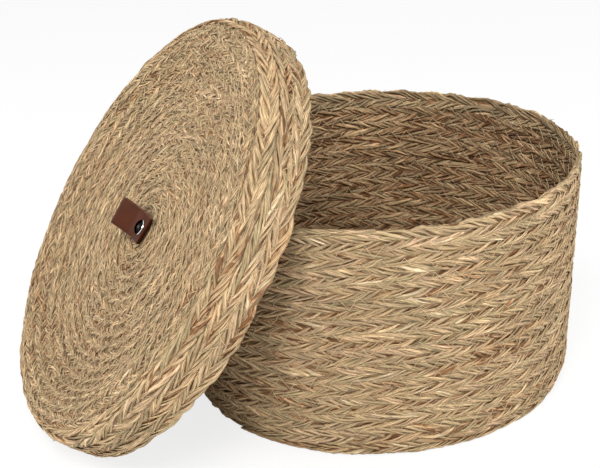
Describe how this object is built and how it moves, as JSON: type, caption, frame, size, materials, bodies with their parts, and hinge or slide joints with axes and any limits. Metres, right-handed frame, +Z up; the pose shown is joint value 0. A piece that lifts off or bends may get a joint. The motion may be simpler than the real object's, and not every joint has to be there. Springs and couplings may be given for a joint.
{
  "type": "lidded basket",
  "caption": "Round plaited seagrass storage basket with a loose dished lid leaning on its rim; the lid has a folded leather pull tab on a rivet.",
  "frame": {"origin": "centre of the basket's underside, on the surface that it stands on", "axes": "+Z up along the basket's axis; the lid is off and leans on the basket's -X side; +Y runs along the pull tab from its rivet to its fold"},
  "size_m": [0.4699, 0.359, 0.3109],
  "materials": {
    "seagrass": "matt dry plaited grass",
    "leather": "smooth satin, dark reddish brown",
    "rivet": "polished gunmetal"
  },
  "bodies": {
    "basket": {"basket_base": "seagrass", "basket_wall_coil": "seagrass"},
    "lid": {"lid_skirt_coil": "seagrass", "lid_top_coil": "seagrass", "tab_foot": "leather", "rivet_cap": "rivet", "rivet_back": "rivet"},
    "tab": {"tab_loop": "leather"}
  },
  "joints": [
    {"name": "lid_lift", "type": "slide", "parent": "basket", "child": "lid", "axis": [0, 0, 1], "range_m": [0, 0.21]},
    {"name": "tab_lift", "type": "hinge", "parent": "lid", "child": "tab", "pos_m": [-0.19699, -0.0008, 0.16505], "axis": [0.5664, 0, 0.8241], "range_deg": [-25, 55]}
  ]
}
